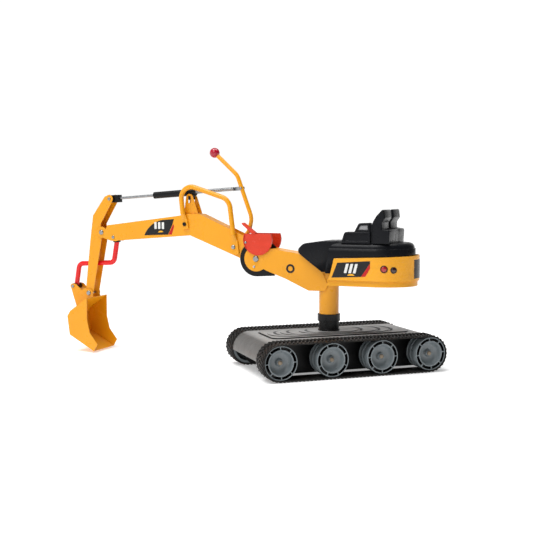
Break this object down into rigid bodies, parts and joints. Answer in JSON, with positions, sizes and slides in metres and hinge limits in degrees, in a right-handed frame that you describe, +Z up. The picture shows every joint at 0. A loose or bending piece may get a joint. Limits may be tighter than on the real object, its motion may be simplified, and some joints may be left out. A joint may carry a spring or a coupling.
{
  "type": "ride on digger",
  "caption": "Child's ride-on digger: tracked base, turning seat, lever-worked arm with boom, stick, bent link and bucket",
  "frame": {"origin": "on the ground, on the axis the seat turns about", "axes": "+X along the arm towards the bucket, +Y to the driver's left, +Z up along the turning axis"},
  "size_m": [1.3932, 0.7211, 0.7405],
  "materials": {
    "deck_plastic": "fine moulded grain",
    "frame_plastic": "moulded black",
    "steel": "zinc plated",
    "bright_steel": "bright plated",
    "socket_plastic": "satin black",
    "track_rubber": "dusty black",
    "roller_plastic": "satin grey",
    "yellow_paint": "powder coat",
    "yellow_plastic": "glossy",
    "skirt_plastic": "glossy",
    "seat_plastic": "satin black",
    "window_plastic": "satin pale grey",
    "trim_black": "gloss film",
    "trim_red": "gloss film",
    "lamp_red": "clear red",
    "lamp_dark": "smoked",
    "guard_red": "glossy",
    "knob_red": "glossy",
    "link_red": "powder coat",
    "bush_plastic": "natural"
  },
  "bodies": {
    "base": {"deck_cover": "deck_plastic", "chassis_frame": "frame_plastic", "slew_post": "steel", "post_bolts": "steel", "post_cap": "steel", "column_socket": "socket_plastic", "track_left": "track_rubber", "track_right": "track_rubber", "axles": "steel", "axle_caps": "bright_steel"},
    "upper": {"column": "yellow_paint", "swivel_ring": "socket_plastic", "slew_bushes": "bush_plastic", "base_arm": "yellow_paint", "seat_plate": "steel", "seat_screws": "steel", "fairing": "yellow_plastic", "fairing_skirt": "skirt_plastic", "seat_shell": "seat_plastic", "seat_back": "seat_plastic", "seat_windows": "window_plastic", "upper_panels": "trim_black", "fairing_stripes": "trim_red", "lamps_red": "lamp_red", "lamps_dark": "lamp_dark", "pivot_shrouds": "frame_plastic", "shroud_screws": "steel", "lift_bolt": "bright_steel"},
    "boom": {"boom": "yellow_paint", "lift_sleeve": "yellow_paint", "sleeve_bracket": "yellow_paint", "grab_handle": "yellow_paint", "handle_screw": "frame_plastic", "lever_bolt": "bright_steel", "pinch_guards": "guard_red", "guard_bolts": "bright_steel", "boom_panels": "trim_black", "boom_stripes": "trim_red", "boom_bolts": "bright_steel"},
    "lever": {"lever": "yellow_paint", "knob": "knob_red", "rod_pin": "bright_steel"},
    "rod": {"push_rod": "bright_steel", "rod_eye": "frame_plastic"},
    "sleeve": {"rod_sleeve": "frame_plastic"},
    "stick": {"stick": "yellow_paint", "stick_sleeve": "yellow_paint", "stick_top_bolt": "bright_steel"},
    "bucket": {"bucket": "yellow_paint", "bucket_bolts": "bright_steel"},
    "link": {"link_arm": "link_red", "link_ends": "frame_plastic"},
    "wheel_left_1": {"wheel_left_1": "roller_plastic"},
    "wheel_left_2": {"wheel_left_2": "roller_plastic"},
    "wheel_left_3": {"wheel_left_3": "roller_plastic"},
    "wheel_left_4": {"wheel_left_4": "roller_plastic"},
    "wheel_right_1": {"wheel_right_1": "roller_plastic"},
    "wheel_right_2": {"wheel_right_2": "roller_plastic"},
    "wheel_right_3": {"wheel_right_3": "roller_plastic"},
    "wheel_right_4": {"wheel_right_4": "roller_plastic"}
  },
  "joints": [
    {"name": "slew", "type": "hinge", "parent": "base", "child": "upper", "pos_m": [0, 0, 0], "axis": [0, 0, 1], "continuous": true},
    {"name": "boom_lift", "type": "hinge", "parent": "upper", "child": "boom", "pos_m": [0.25, 0, 0.3605], "axis": [0, -1, 0], "range_deg": [0, 35]},
    {"name": "stick_swing", "type": "hinge", "parent": "boom", "child": "stick", "pos_m": [0.871, 0, 0.441], "axis": [0, -1, 0], "range_deg": [-25, 18]},
    {"name": "lever_swing", "type": "hinge", "parent": "boom", "child": "lever", "pos_m": [0.3365, 0, 0.3985], "axis": [0, -1, 0], "range_deg": [-15.2, 10.95]},
    {"name": "rod_swing", "type": "hinge", "parent": "lever", "child": "rod", "pos_m": [0.319, 0, 0.6], "axis": [0, -1, 0], "range_deg": [-11.6, 16.1]},
    {"name": "sleeve_slide", "type": "slide", "parent": "rod", "child": "sleeve", "axis": [0.9975, 0, -0.071], "range_m": [-0.0537, 0.0387]},
    {"name": "bucket_curl", "type": "hinge", "parent": "stick", "child": "bucket", "pos_m": [0.929, 0, 0.215], "axis": [0, -1, 0], "range_deg": [-17.35, 12.5]},
    {"name": "link_swing", "type": "hinge", "parent": "bucket", "child": "link", "pos_m": [0.999, 0, 0.2375], "axis": [0, -1, 0], "range_deg": [-12, 16.65]},
    {"name": "roll_left_1", "type": "hinge", "parent": "base", "child": "wheel_left_1", "pos_m": [0.07241, 0.2805, 0.0612], "axis": [-0.6691, 0.7431, 0], "continuous": true},
    {"name": "roll_left_2", "type": "hinge", "parent": "base", "child": "wheel_left_2", "pos_m": [-0.05615, 0.16474, 0.0612], "axis": [-0.6691, 0.7431, 0], "continuous": true},
    {"name": "roll_left_3", "type": "hinge", "parent": "base", "child": "wheel_left_3", "pos_m": [-0.18472, 0.04898, 0.0612], "axis": [-0.6691, 0.7431, 0], "continuous": true},
    {"name": "roll_left_4", "type": "hinge", "parent": "base", "child": "wheel_left_4", "pos_m": [-0.31328, -0.06678, 0.0612], "axis": [-0.6691, 0.7431, 0], "continuous": true},
    {"name": "roll_right_1", "type": "hinge", "parent": "base", "child": "wheel_right_1", "pos_m": [0.28653, 0.04269, 0.0612], "axis": [-0.6691, 0.7431, 0], "continuous": true},
    {"name": "roll_right_2", "type": "hinge", "parent": "base", "child": "wheel_right_2", "pos_m": [0.15797, -0.07307, 0.0612], "axis": [-0.6691, 0.7431, 0], "continuous": true},
    {"name": "roll_right_3", "type": "hinge", "parent": "base", "child": "wheel_right_3", "pos_m": [0.0294, -0.18883, 0.0612], "axis": [-0.6691, 0.7431, 0], "continuous": true},
    {"name": "roll_right_4", "type": "hinge", "parent": "base", "child": "wheel_right_4", "pos_m": [-0.09916, -0.30459, 0.0612], "axis": [-0.6691, 0.7431, 0], "continuous": true}
  ],
  "couplings": [
    {"joint": "lever_swing", "follows": "stick_swing", "ratio": 0.6054},
    {"joint": "rod_swing", "follows": "stick_swing", "ratio": -0.6412},
    {"joint": "sleeve_slide", "follows": "stick_swing", "m_per_rad": 0.1228},
    {"joint": "bucket_curl", "follows": "stick_swing", "ratio": 0.6905},
    {"joint": "link_swing", "follows": "stick_swing", "ratio": -0.6638},
    {"joint": "roll_left_2", "follows": "roll_left_1", "ratio": 1},
    {"joint": "roll_left_3", "follows": "roll_left_1", "ratio": 1},
    {"joint": "roll_left_4", "follows": "roll_left_1", "ratio": 1},
    {"joint": "roll_right_2", "follows": "roll_right_1", "ratio": 1},
    {"joint": "roll_right_3", "follows": "roll_right_1", "ratio": 1},
    {"joint": "roll_right_4", "follows": "roll_right_1", "ratio": 1}
  ]
}
